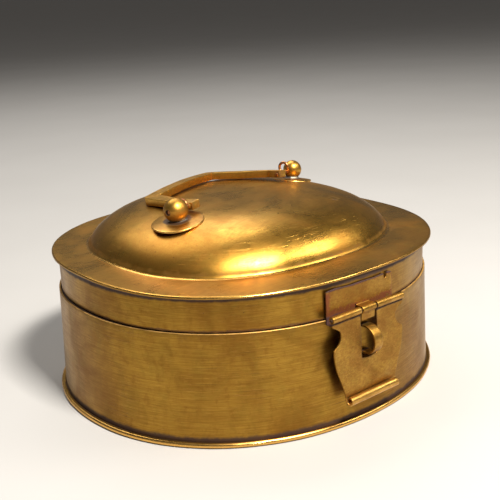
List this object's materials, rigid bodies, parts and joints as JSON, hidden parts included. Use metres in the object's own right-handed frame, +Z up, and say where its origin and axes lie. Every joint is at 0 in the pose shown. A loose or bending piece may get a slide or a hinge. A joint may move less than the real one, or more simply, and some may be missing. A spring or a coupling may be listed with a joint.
{
  "type": "tiffin carrier",
  "caption": "Low rounded-square brass lunch box with a domed hinged lid, a front hasp over a staple and a folding carry handle on ball posts.",
  "frame": {"origin": "centre of the underside, on the surface that the box stands on", "axes": "+Z up, -Y towards the hasp, +Y towards the lid hinge, +X to the right of a person facing the hasp"},
  "size_m": [0.2366, 0.2327, 0.12],
  "materials": {
    "body_brass": "worn satin with patina",
    "lid_brass": "worn satin with patina",
    "fitting_brass": "tarnished satin",
    "handle_brass": "polished by handling",
    "rosette_brass": "coppery patina",
    "wire_copper": "dull coppery wire"
  },
  "bodies": {
    "body": {"base_plate": "body_brass", "body_wall": "body_brass", "neck_collar": "body_brass", "staple": "fitting_brass", "hinge_body_leaf": "fitting_brass", "hinge_pin": "fitting_brass", "hinge_body_rivets": "fitting_brass"},
    "lid": {"lid_flange": "lid_brass", "lid_dome": "lid_brass", "lid_skirt": "lid_brass", "hinge_lid_leaf": "fitting_brass", "hinge_lid_rivets": "fitting_brass", "hasp_leaf": "fitting_brass", "hasp_pin": "fitting_brass", "rosette_near": "rosette_brass", "rosette_far": "rosette_brass", "post_near": "handle_brass", "post_far": "handle_brass", "post_rivet_near": "fitting_brass", "post_rivet_far": "fitting_brass", "pivot_wire_near": "wire_copper", "pivot_wire_far": "wire_copper"},
    "handle": {"handle_bail": "handle_brass"},
    "hasp": {"hasp_plate": "fitting_brass"}
  },
  "joints": [
    {"name": "lid_hinge", "type": "hinge", "parent": "body", "child": "lid", "pos_m": [0, 0.1115, 0.063], "axis": [-1, 0, 0], "range_deg": [0, 105]},
    {"name": "handle_fold", "type": "hinge", "parent": "lid", "child": "handle", "pos_m": [0, 0, 0.1124], "axis": [0.9681, 0.2504, 0], "range_deg": [0, 182]},
    {"name": "hasp_swing", "type": "hinge", "parent": "lid", "child": "hasp", "pos_m": [-0.0039, -0.1104, 0.065], "axis": [-1, 0, 0], "range_deg": [0, 150]}
  ]
}
